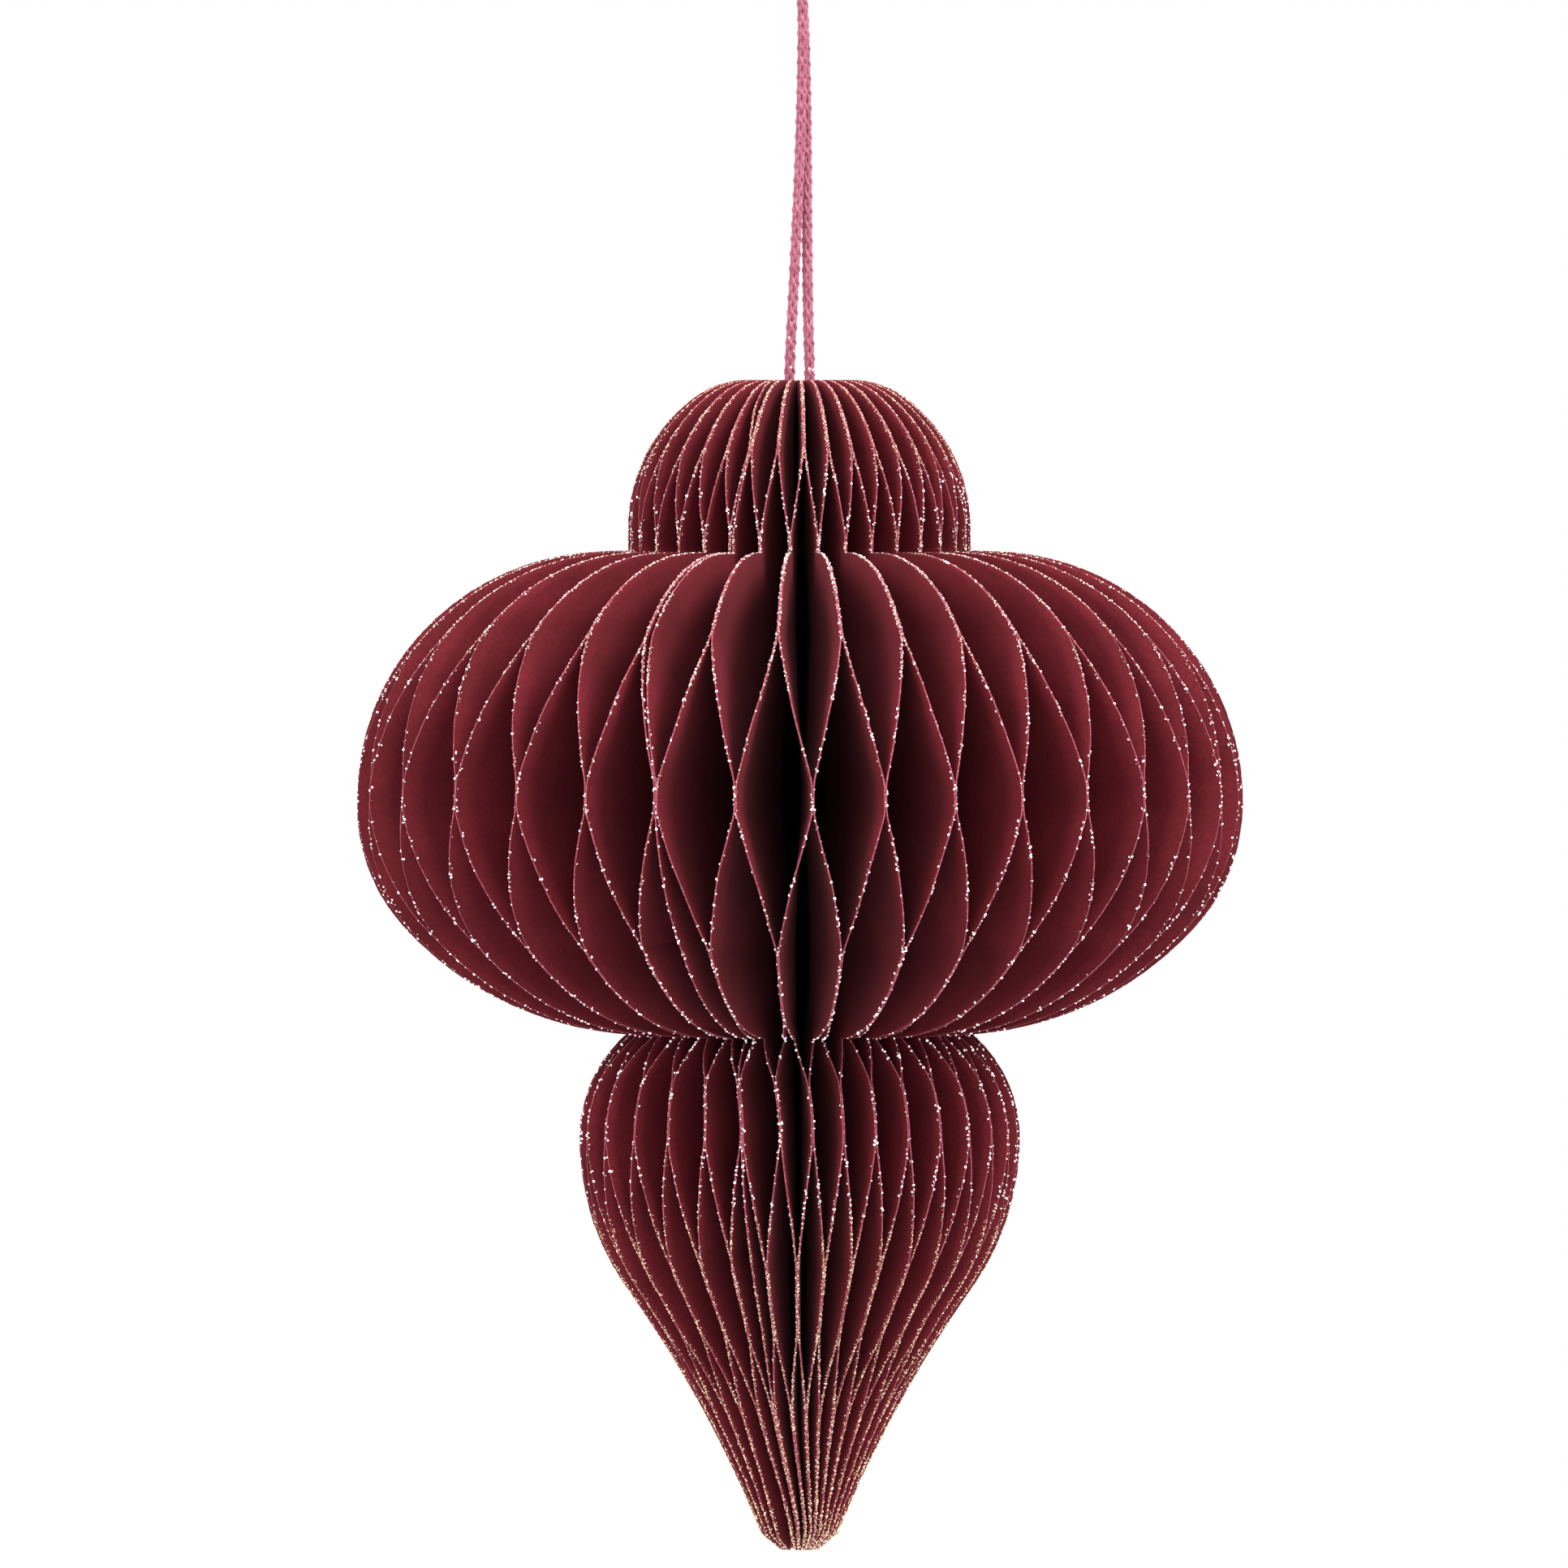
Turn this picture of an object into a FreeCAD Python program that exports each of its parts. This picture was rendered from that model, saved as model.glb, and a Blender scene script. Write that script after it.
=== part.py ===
import FreeCAD, Part
import Sketcher
import math
import os

# Accordion paper lantern. Half-profile card leaves stand round a hollow spine and are glued to their
# neighbours in turn, so the whole ring opens like a book from a flat stack to a full turn.
# Origin: where the hanging loop bears on its hook. +Z is up and -Y is the front. Millimetres.

V = FreeCAD.Vector
UP = V(0, 0, 1)
doc = FreeCAD.newDocument("AccordionLantern")

# ---------------------------------------------------------------- driving dimensions
dims = doc.addObject("Spreadsheet::Sheet", "dims")
DRIVING = [
    ("card_thickness", 0.30, "card of one leaf"),
    ("glue_line", 0.02, "glue between the two leaves of a pair"),
    ("fold_clearance", 0.07, "room between two pairs when the lantern is shut"),
    ("pair_count", 36, "glued pairs round the full turn, with the two covers as one of them"),
    ("seam_turn", -18.5, "angle of the seam from the front, degrees, minus is to the left"),
    ("spine_margin", 0.20, "how far the leaves reach in past their fold line"),
    ("hang_drop", 55.0, "hook to the top of the dome"),
    ("dome_flat_radius", 7.0, "flat top of the dome"),
    ("dome_shoulder_arc", 11.0, "arc of the dome's shoulder"),
    ("dome_radius", 22.1, "widest part of the dome"),
    ("dome_side_drop", 19.0, "top of the dome to its widest part"),
    ("dome_height", 22.1, "top of the dome to the upper neck"),
    ("crown_radius", 25.0, "where the flat neck turns into the body"),
    ("body_radius", 57.3, "widest part of the body"),
    ("body_upper_height", 32.3, "upper neck to the widest part of the body"),
    ("body_lower_height", 29.9, "widest part of the body to the lower neck"),
    ("body_side_arc", 24.0, "arc under the widest part of the body"),
    ("body_base_arc", 42.0, "flatter arc from there to the lower neck"),
    ("lower_neck_radius", 22.2, "neck between the body and the drop"),
    ("drop_radius", 28.45, "widest part of the drop"),
    ("drop_upper_height", 13.5, "lower neck to the widest part of the drop"),
    ("drop_lower_height", 51.2, "widest part of the drop to the end of its long curve"),
    ("drop_side_arc", 33.6, "arc under the widest part of the drop"),
    ("drop_taper_arc", 160.0, "long hollow curve down to the tip"),
    ("tip_flare", 1.14, "end of the hollow curve, out from the inner edge of the leaves"),
    ("tip_height", 2.0, "blunt end of the tip"),
    ("magnet_radius", 2.0, "closing magnet"),
    ("magnet_thickness", 0.5, "closing magnet"),
    ("magnet_body_reach", 22.0, "spine axis to the magnet in the body"),
    ("magnet_drop_reach", 11.0, "spine axis to the magnet in the drop"),
    ("cord_radius", 0.75, "twisted cord"),
    ("knot_radius", 2.1, "knot in the cord"),
    ("knot_height", 3.6, "knot in the cord"),
    ("knot_round", 0.35, "rounding of the knot"),
    ("knot_depth", 5.5, "top of the dome to the top of the knot"),
    ("knot_fit", 0.05, "glue film round the knot"),
    ("plug_radius", 3.5, "glue plug in the spine"),
    ("plug_rim", 3.0, "glue plug above the top of the knot"),
    ("plug_floor", 2.4, "glue plug under the knot"),
    ("web_thickness", 0.5, "glue web from the plug to the middle pair"),
]
for row, (alias, value, note) in enumerate(DRIVING, start=1):
    dims.set(f"A{row}", note)
    dims.set(f"B{row}", str(value))
    dims.setAlias(f"B{row}", alias)
doc.recompute()


def size(alias):
    return float(getattr(dims, alias))


def bind(target, prop, expression):
    target.setExpression(prop, expression)


# ---------------------------------------------------------------- sizes that follow from the driving ones
PAIRS = int(size("pair_count"))
PAIR_ANGLE = 360.0 / PAIRS
HALF_PAIR = math.radians(PAIR_ANGLE / 2)
PAIR_THICKNESS = 2 * size("card_thickness") + size("glue_line")
SPINE_RADIUS = (PAIR_THICKNESS + size("fold_clearance")) / (2 * math.sin(HALF_PAIR))
INNER_RADIUS = SPINE_RADIUS - size("spine_margin")
# a cover holds magnets behind its leaf, so it folds about a line further out than the other pairs do
LEAF_FACE = size("glue_line") / 2 + size("card_thickness")
MAGNET_FACE = LEAF_FACE + size("glue_line") + size("magnet_thickness")
COVER_STACK = MAGNET_FACE + size("glue_line") + size("card_thickness")
COVER_PITCH = COVER_STACK + PAIR_THICKNESS / 2 + size("fold_clearance")
COVER_FOLD_RADIUS = COVER_PITCH / (2 * math.sin(HALF_PAIR))
# the same radii in the sheet's own words, for the objects that are bound to it
HALF_SINE = "sin(180 deg / dims.pair_count)"
PAIR_WORDS = "(2 * dims.card_thickness + dims.glue_line)"
SPINE_WORDS = f"({PAIR_WORDS} + dims.fold_clearance) / (2 * {HALF_SINE})"
INNER_WORDS = f"{SPINE_WORDS} - dims.spine_margin"
LEAF_FACE_WORDS = "(dims.glue_line / 2 + dims.card_thickness)"
MAGNET_WORDS = f"({LEAF_FACE_WORDS} + dims.glue_line)"
STACK_WORDS = f"({MAGNET_WORDS} + dims.magnet_thickness + dims.glue_line + dims.card_thickness)"
PITCH_WORDS = f"({STACK_WORDS} + dims.fold_clearance + {PAIR_WORDS} / 2)"
END_INNER_WORDS = f"{PITCH_WORDS} / sin(360 deg / dims.pair_count)"
TOP_DEPTH = "dims.hang_drop"
DOME_SIDE_DEPTH = f"{TOP_DEPTH} + dims.dome_side_drop"
UPPER_NECK_DEPTH = f"{TOP_DEPTH} + dims.dome_height"
BODY_DEPTH = f"{UPPER_NECK_DEPTH} + dims.body_upper_height"
LOWER_NECK_DEPTH = f"{BODY_DEPTH} + dims.body_lower_height"
DROP_DEPTH = f"{LOWER_NECK_DEPTH} + dims.drop_upper_height"
TAPER_DEPTH = f"{DROP_DEPTH} + dims.drop_lower_height"
BOTTOM_DEPTH = f"{TAPER_DEPTH} + dims.tip_height"

TOP = -size("hang_drop")
UPPER_NECK = TOP - size("dome_height")
BODY_MIDDLE = UPPER_NECK - size("body_upper_height")
LOWER_NECK = BODY_MIDDLE - size("body_lower_height")
DROP_MIDDLE = LOWER_NECK - size("drop_upper_height")
TAPER_END = DROP_MIDDLE - size("drop_lower_height")
BOTTOM = TAPER_END - size("tip_height")


# ---------------------------------------------------------------- outline of a leaf
def crossing(centre_a, radius_a, centre_b, radius_b, side):
    """Where two circles cross, on the given side (1 or -1) of the line from a to b."""
    gap = centre_b - centre_a
    along = (radius_a**2 - radius_b**2 + gap.Length**2) / (2 * gap.Length)
    across = math.sqrt(radius_a**2 - along**2)
    ahead = V(gap.x, gap.y, 0).normalize()
    sideways = V(-ahead.y, ahead.x, 0)
    return centre_a + ahead * along + sideways * (across * side)


def upright_centre(end, level_point):
    """Centre of the arc that is upright at level_point and passes through end."""
    across = level_point.x - end.x
    along = level_point.y - end.y
    radius = (across**2 + along**2) / (2 * across)
    return V(level_point.x - radius, level_point.y, 0)


class Outline:
    """A closed sketch outline, drawn clockwise with lines and arcs that meet end to end."""

    def __init__(self, sketch):
        self.sketch = sketch
        self.pieces = []

    def line(self, start, end):
        index = self.sketch.addGeometry(Part.LineSegment(start, end), False)
        self.pieces.append((index, 1, 2))

    def arc(self, centre, start, end, clockwise=True):
        first, last = (end, start) if clockwise else (start, end)
        angle_first = math.atan2(first.y - centre.y, first.x - centre.x)
        angle_last = math.atan2(last.y - centre.y, last.x - centre.x)
        if angle_last < angle_first:
            angle_last += 2 * math.pi
        circle = Part.Circle(centre, UP, (start - centre).Length)
        index = self.sketch.addGeometry(Part.ArcOfCircle(circle, angle_first, angle_last), False)
        self.pieces.append((index, 2, 1) if clockwise else (index, 1, 2))

    def join(self, smooth):
        """Close the outline; the pieces numbered in smooth run into the next one without a corner."""
        for number, (index, _, last) in enumerate(self.pieces):
            after, first, _ = self.pieces[(number + 1) % len(self.pieces)]
            kind = "Tangent" if number in smooth else "Coincident"
            self.sketch.addConstraint(Sketcher.Constraint(kind, index, last, after, first))

    def bound(self, constraint, words):
        made = self.sketch.addConstraint(constraint)
        bind(self.sketch, f"Constraints[{made}]", words)

    def place(self, number, reach, depth):
        """Tie a piece's start to the sheet: its distance from the axis and its depth below the hook."""
        index, first, _ = self.pieces[number]
        point = self.sketch.getPoint(index, first)
        self.bound(Sketcher.Constraint("DistanceX", -1, 1, index, first, point.x), reach)
        self.bound(Sketcher.Constraint("DistanceY", index, first, -1, 1, -point.y), depth)

    def radius(self, number, words):
        index = self.pieces[number][0]
        value = self.sketch.Geometry[index].Radius
        self.bound(Sketcher.Constraint("Radius", index, value), words)

    def upright_end(self, number):
        """Hold an arc's centre level with its end, so that the arc is upright there."""
        index, _, last = self.pieces[number]
        self.sketch.addConstraint(Sketcher.Constraint("Horizontal", index, 3, index, last))


def draw_leaf_outline():
    """Half of the lantern's profile: dome, body and drop, from the spine out."""
    sketch = doc.addObject("Sketcher::SketchObject", "leaf_outline")
    sketch.Placement = FreeCAD.Placement(V(0, 0, 0), FreeCAD.Rotation(V(1, 0, 0), 90))
    outline = Outline(sketch)

    top_inner = V(INNER_RADIUS, TOP, 0)
    flat_end = V(size("dome_flat_radius"), TOP, 0)
    dome_side = V(size("dome_radius"), TOP - size("dome_side_drop"), 0)
    neck = V(size("dome_radius"), UPPER_NECK, 0)
    crown = V(size("crown_radius"), UPPER_NECK, 0)
    body_side = V(size("body_radius"), BODY_MIDDLE, 0)
    lower_neck = V(size("lower_neck_radius"), LOWER_NECK, 0)
    drop_side = V(size("drop_radius"), DROP_MIDDLE, 0)
    taper_end = V(INNER_RADIUS + size("tip_flare"), TAPER_END, 0)
    bottom = V(INNER_RADIUS, BOTTOM, 0)

    # the dome: a shoulder arc that runs into a larger side arc, upright at the dome's widest part
    shoulder_radius = size("dome_shoulder_arc")
    shoulder_centre = V(flat_end.x, TOP - shoulder_radius, 0)
    across = dome_side.x - shoulder_centre.x
    drop = size("dome_side_drop") - shoulder_radius
    side_radius = (across**2 + drop**2 - shoulder_radius**2) / (2 * (across - shoulder_radius))
    side_centre = V(dome_side.x - side_radius, dome_side.y, 0)
    shoulder_end = side_centre + (shoulder_centre - side_centre).normalize() * side_radius

    # under the body's widest part: a side arc that runs into a flatter one
    side_arc, base_arc = size("body_side_arc"), size("body_base_arc")
    body_centre = V(body_side.x - side_arc, BODY_MIDDLE, 0)
    base_centre = crossing(body_centre, base_arc - side_arc, lower_neck, base_arc, -1)
    base_start = base_centre + (body_centre - base_centre).normalize() * base_arc

    # under the drop's widest part: a side arc that runs into the long hollow taper
    drop_arc, taper_arc = size("drop_side_arc"), size("drop_taper_arc")
    drop_centre = V(drop_side.x - drop_arc, DROP_MIDDLE, 0)
    taper_centre = crossing(drop_centre, drop_arc + taper_arc, taper_end, taper_arc, 1)
    taper_start = drop_centre + (taper_centre - drop_centre).normalize() * drop_arc

    outline.line(top_inner, flat_end)  # 0
    outline.arc(shoulder_centre, flat_end, shoulder_end)  # 1
    outline.arc(side_centre, shoulder_end, dome_side)  # 2
    outline.line(dome_side, neck)  # 3
    outline.line(neck, crown)  # 4
    outline.arc(upright_centre(crown, body_side), crown, body_side)  # 5
    outline.arc(body_centre, body_side, base_start)  # 6
    outline.arc(base_centre, base_start, lower_neck)  # 7
    outline.arc(upright_centre(lower_neck, drop_side), lower_neck, drop_side)  # 8
    outline.arc(drop_centre, drop_side, taper_start)  # 9
    outline.arc(taper_centre, taper_start, taper_end, clockwise=False)  # 10
    outline.line(taper_end, bottom)  # 11
    outline.line(bottom, top_inner)  # 12

    outline.join(smooth=(0, 1, 2, 5, 6, 8, 9))
    outline.place(0, INNER_WORDS, TOP_DEPTH)
    outline.place(1, "dims.dome_flat_radius", TOP_DEPTH)
    outline.radius(1, "dims.dome_shoulder_arc")
    outline.place(3, "dims.dome_radius", DOME_SIDE_DEPTH)
    outline.place(4, "dims.dome_radius", UPPER_NECK_DEPTH)
    outline.place(5, "dims.crown_radius", UPPER_NECK_DEPTH)
    outline.upright_end(5)
    outline.place(6, "dims.body_radius", BODY_DEPTH)
    outline.radius(6, "dims.body_side_arc")
    outline.radius(7, "dims.body_base_arc")
    outline.place(8, "dims.lower_neck_radius", LOWER_NECK_DEPTH)
    outline.upright_end(8)
    outline.place(9, "dims.drop_radius", DROP_DEPTH)
    outline.radius(9, "dims.drop_side_arc")
    outline.radius(10, "dims.drop_taper_arc")
    outline.place(11, f"{INNER_WORDS} + dims.tip_flare", TAPER_DEPTH)
    outline.place(12, INNER_WORDS, BOTTOM_DEPTH)
    return sketch


outline_sketch = draw_leaf_outline()


# ---------------------------------------------------------------- leaves, in glued pairs and covers
parts = []


def keep(part, label):
    """Name a finished sub-part; its label is its file's name."""
    part.Label = label
    parts.append(part)
    return part


def leaf(name, near_face):
    """One die-cut leaf in the XZ plane, whose nearer face to the front stands at the given Y."""
    cut = doc.addObject("Part::Extrusion", name)
    cut.Base = outline_sketch
    cut.DirMode = "Custom"
    cut.Dir = V(0, 1, 0)
    cut.Solid = True
    bind(cut, "LengthFwd", "dims.card_thickness")
    bind(cut, "Placement.Base.y", near_face)
    return cut


def turned(part, angle):
    """Turn a part about the spine; angle is in the sheet's words, from +X."""
    part.Placement = FreeCAD.Placement(V(0, 0, 0), FreeCAD.Rotation(UP, 1))
    bind(part, "Placement.Rotation.Angle", angle)


def group(label, members, angle):
    """Several separate solids as one sub-part, turned about the spine."""
    together = doc.addObject("Part::Compound", label)
    together.Links = members
    turned(together, angle)
    return keep(together, label)


SEAM_WORDS = "dims.seam_turn - 90"
MIDDLE = PAIRS // 2

for number in range(1, PAIRS):
    label = f"leaf_pair_{number:02d}"
    right_leaf = leaf(f"{label}_right_leaf", "dims.glue_line / 2")
    left_leaf = leaf(f"{label}_left_leaf", f"-{LEAF_FACE_WORDS}")
    group(label, [right_leaf, left_leaf], f"{SEAM_WORDS} - {number} * 360 / dims.pair_count")

# With the seam along +X, +Y is the right cover's side and -Y the left cover's side.
group("cover_right", [leaf("cover_right_leaf", "dims.glue_line / 2")], SEAM_WORDS)
group("cover_left", [leaf("cover_left_leaf", f"-{LEAF_FACE_WORDS}")], SEAM_WORDS)

# The left cover's second leaf lies behind the magnets and bends in to the spine, so its flat part starts
# further out.
end_leaf_blank = leaf("end_leaf_blank", f"-{STACK_WORDS}")
end_leaf_bend = doc.addObject("Part::Cylinder", "end_leaf_bend")
bind(end_leaf_bend, "Radius", END_INNER_WORDS)
bind(end_leaf_bend, "Height", f"{BOTTOM_DEPTH}")
bind(end_leaf_bend, "Placement.Base.z", f"-({BOTTOM_DEPTH}) - dims.tip_height")
end_leaf = doc.addObject("Part::Cut", "cover_left_end_leaf")
end_leaf.Base = end_leaf_blank
end_leaf.Tool = end_leaf_bend
turned(end_leaf, SEAM_WORDS)
keep(end_leaf, "cover_left_end_leaf")


def magnets(label, near_face):
    """Two disc magnets flat against a cover's leaf, one in the body and one in the drop."""
    spots = (
        ("body", "dims.magnet_body_reach", BODY_DEPTH),
        ("drop", "dims.magnet_drop_reach", DROP_DEPTH),
    )
    discs = []
    for lobe, reach, depth in spots:
        disc = doc.addObject("Part::Cylinder", f"{label}_{lobe}")
        disc.Placement = FreeCAD.Placement(V(0, 0, 0), FreeCAD.Rotation(V(1, 0, 0), -90))
        bind(disc, "Radius", "dims.magnet_radius")
        bind(disc, "Height", "dims.magnet_thickness")
        bind(disc, "Placement.Base.x", reach)
        bind(disc, "Placement.Base.y", near_face)
        bind(disc, "Placement.Base.z", f"-({depth})")
        discs.append(disc)
    return group(label, discs, SEAM_WORDS)


magnets("closing_magnets_right", MAGNET_WORDS)
magnets("closing_magnets_left", f"-{MAGNET_WORDS} - dims.magnet_thickness")


# ---------------------------------------------------------------- hanging cord, its knot and the glue in the spine
# The knot stands on a floor of glue in the spine. A web of the same glue holds it to the middle pair alone,
# so that every other pair stays free to fold.
KNOT_TOP_DEPTH = f"{TOP_DEPTH} + dims.knot_depth"
KNOT_BOTTOM_DEPTH = f"{KNOT_TOP_DEPTH} + dims.knot_height"

knot = doc.addObject("PartDesign::Body", "cord_knot")
knot_plane = next(p for p in knot.Origin.OriginFeatures if p.Role == "XY_Plane")
knot_sketch = knot.newObject("Sketcher::SketchObject", "knot_outline")
knot_sketch.AttachmentSupport = [(knot_plane, "")]
knot_sketch.MapMode = "FlatFace"
knot_circle = knot_sketch.addGeometry(Part.Circle(V(0, 0, 0), UP, size("knot_radius")), False)
knot_sketch.addConstraint(Sketcher.Constraint("Coincident", knot_circle, 3, -1, 1))
knot_size = knot_sketch.addConstraint(Sketcher.Constraint("Radius", knot_circle, size("knot_radius")))
bind(knot_sketch, f"Constraints[{knot_size}]", "dims.knot_radius")
knot_pad = knot.newObject("PartDesign::Pad", "knot_length")
knot_pad.Profile = knot_sketch
bind(knot_pad, "Length", "dims.knot_height")
doc.recompute()
knot_edges = knot.newObject("PartDesign::Fillet", "knot_rounding")
knot_edges.Base = (knot_pad, ["Edge1", "Edge3"])
bind(knot_edges, "Radius", "dims.knot_round")
bind(knot, "Placement.Base.z", f"-({KNOT_BOTTOM_DEPTH})")
keep(knot, "cord_knot")

plug_body = doc.addObject("Part::Cylinder", "plug_body")
bind(plug_body, "Radius", "dims.plug_radius")
bind(plug_body, "Height", "dims.plug_rim + dims.knot_height + dims.plug_floor")
bind(plug_body, "Placement.Base.z", f"-({KNOT_BOTTOM_DEPTH} + dims.plug_floor)")
plug_web = doc.addObject("Part::Box", "plug_web")
bind(plug_web, "Length", INNER_WORDS)
bind(plug_web, "Width", "dims.web_thickness")
bind(plug_web, "Height", "dims.knot_height + dims.plug_floor")
bind(plug_web, "Placement.Base.y", "-dims.web_thickness / 2")
bind(plug_web, "Placement.Base.z", f"-({KNOT_BOTTOM_DEPTH} + dims.plug_floor)")
plug_solid = doc.addObject("Part::Fuse", "plug_solid")
plug_solid.Base = plug_body
plug_solid.Tool = plug_web
plug_hollow = doc.addObject("Part::Cylinder", "plug_hollow")
bind(plug_hollow, "Radius", "dims.knot_radius + dims.knot_fit")
bind(plug_hollow, "Height", "dims.knot_height + 2 * dims.plug_rim")
bind(plug_hollow, "Placement.Base.z", f"-({KNOT_BOTTOM_DEPTH})")
plug = doc.addObject("Part::Cut", "spine_glue_plug")
plug.Base = plug_solid
plug.Tool = plug_hollow
turned(plug, f"{SEAM_WORDS} - {MIDDLE} * 360 / dims.pair_count")
keep(plug, "spine_glue_plug")

# The cord's route, from the top of the knot up one strand, over the hook and down the other. The strands
# stand upright side by side in the spine and make a quarter turn about each other above it, so that the eye
# at the top opens to the front. Heights are from the hook's bearing line; the two ends follow the knot.
CORD_TOP = size("cord_radius")
KNOT_TOP = -(size("hang_drop") + size("knot_depth"))
STRAND_REST = size("knot_radius") - size("cord_radius")
MOUTH_RISE = 0.5
SPINE_MOUTH = TOP + MOUTH_RISE
CORD_ROUTE = [
    V(-STRAND_REST, 0.00, KNOT_TOP),
    V(-STRAND_REST, 0.00, SPINE_MOUTH),
    V(-1.00, -0.20, -47.6),
    V(-0.47, -0.45, -37.5),
    V(0.02, -0.62, -27.0),
    V(0.30, -0.75, -17.5),
    V(0.42, -0.82, -10.6),
    V(0.38, -1.10, -6.4),
    V(0.15, -1.90, -3.1),
    V(0.00, -1.95, CORD_TOP),
    V(0.00, 1.95, CORD_TOP),
    V(0.15, 1.90, -3.1),
    V(0.44, 1.10, -6.4),
    V(0.64, 0.82, -10.6),
    V(0.84, 0.75, -17.5),
    V(0.94, 0.64, -27.0),
    V(0.99, 0.43, -37.5),
    V(1.12, 0.18, -47.6),
    V(STRAND_REST, 0.00, SPINE_MOUTH),
    V(STRAND_REST, 0.00, KNOT_TOP),
]
BEND_SHARE = 0.45


def cord_path(route):
    """Straight runs joined by tangent arcs, each arc as large as its two runs allow."""
    edges = []
    start = route[0]
    for before, corner, after in zip(route, route[1:], route[2:]):
        inward = (before - corner).normalize()
        outward = (after - corner).normalize()
        half_turn = (math.pi - inward.getAngle(outward)) / 2
        shorter = min((before - corner).Length, (after - corner).Length)
        cut = BEND_SHARE * shorter
        radius = cut / math.tan(half_turn)
        print(f"cord bend: turn {math.degrees(2 * half_turn):.1f} degrees, radius {radius:.2f} mm")
        arc_start = corner + inward * cut
        arc_end = corner + outward * cut
        bisector = (inward + outward).normalize()
        middle = corner + bisector * (radius / math.cos(half_turn) - radius)
        edges.append(Part.LineSegment(start, arc_start).toShape())
        edges.append(Part.Arc(arc_start, middle, arc_end).toShape())
        start = arc_end
    edges.append(Part.LineSegment(start, route[-1]).toShape())
    return Part.Wire(edges)


path = cord_path(CORD_ROUTE)
cord_line = doc.addObject("Part::Feature", "cord_line")
cord_line.Shape = path
cord_section = doc.addObject("Part::Circle", "cord_section")
bind(cord_section, "Radius", "dims.cord_radius")
first_run = CORD_ROUTE[1] - CORD_ROUTE[0]
cord_section.Placement = FreeCAD.Placement(CORD_ROUTE[0], FreeCAD.Rotation(UP, first_run))
cord = doc.addObject("Part::Sweep", "hanging_cord")
cord.Sections = [cord_section]
cord.Spine = (cord_line, [])
cord.Solid = True
cord.Frenet = False
keep(cord, "hanging_cord")

# ---------------------------------------------------------------- checks and export
doc.recompute()
faults = [f"{o.Name} {o.State}" for o in doc.Objects if "Invalid" in o.State or "Error" in o.State]
faults += [p.Label for p in parts if p.Shape.isNull() or not p.Shape.isValid() or not p.Shape.Solids]
if faults:
    raise RuntimeError(f"the model did not come out whole: {faults}")

expected = math.pi * size("cord_radius") ** 2 * path.Length
print(f"cord length {path.Length:.2f} mm")
print(f"cord tube volume {cord.Shape.Volume:.2f}, section times length {expected:.2f}")

os.makedirs("parts", exist_ok=True)
for part in parts:
    part.Shape.exportStep(f"parts/{part.Label}.step")
print(f"{len(parts)} sub-parts, fold lines at {SPINE_RADIUS:.4f} mm and {COVER_FOLD_RADIUS:.4f} mm")
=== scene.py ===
import math
import random

import bpy
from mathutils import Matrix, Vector


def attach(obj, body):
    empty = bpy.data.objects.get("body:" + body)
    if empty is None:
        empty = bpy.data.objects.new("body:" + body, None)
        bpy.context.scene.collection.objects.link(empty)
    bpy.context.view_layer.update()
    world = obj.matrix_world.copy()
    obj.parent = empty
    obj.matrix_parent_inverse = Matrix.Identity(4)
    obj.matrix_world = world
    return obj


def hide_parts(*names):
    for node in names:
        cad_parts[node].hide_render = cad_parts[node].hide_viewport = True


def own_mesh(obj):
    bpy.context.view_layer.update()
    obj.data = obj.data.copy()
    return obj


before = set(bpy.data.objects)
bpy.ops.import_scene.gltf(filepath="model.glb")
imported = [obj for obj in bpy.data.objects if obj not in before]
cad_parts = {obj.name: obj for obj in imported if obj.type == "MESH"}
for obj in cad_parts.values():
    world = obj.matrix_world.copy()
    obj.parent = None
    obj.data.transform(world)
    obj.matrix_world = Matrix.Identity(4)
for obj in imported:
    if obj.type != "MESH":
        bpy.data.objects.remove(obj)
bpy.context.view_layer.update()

# Accordion paper lantern: glued card leaves round a hollow spine, glitter on their cut edges, and a braided
# cotton cord loop. Sizes are in millimetres and become metres where a mesh or a light is made.

MM = 0.001
PER_M = 1000.0
PER_MM2 = 1.0e6

# ---------------------------------------------------------------- heights of the lobes
TOP = -55.0
UPPER_NECK = TOP - 22.1
BODY_MIDDLE = UPPER_NECK - 32.3
LOWER_NECK = BODY_MIDDLE - 29.9
DROP_MIDDLE = LOWER_NECK - 13.5
TAPER_END = DROP_MIDDLE - 51.2
BOTTOM = TAPER_END - 2.0


def metres(point):
    return Vector(point) * MM


def eased(value):
    """A share held between 0 and 1, with a soft start and a soft end."""
    value = min(max(value, 0.0), 1.0)
    return value * value * (3 - 2 * value)


def between_marks(marks, height):
    """The values at a height, in straight lines between marks of (height, value, ...) from the top down."""
    for (high, *above), (low, *below) in zip(marks, marks[1:]):
        if high >= height >= low:
            share = (high - height) / (high - low)
            return [a + (b - a) * share for a, b in zip(above, below)]
    return marks[-1][1:]


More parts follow.
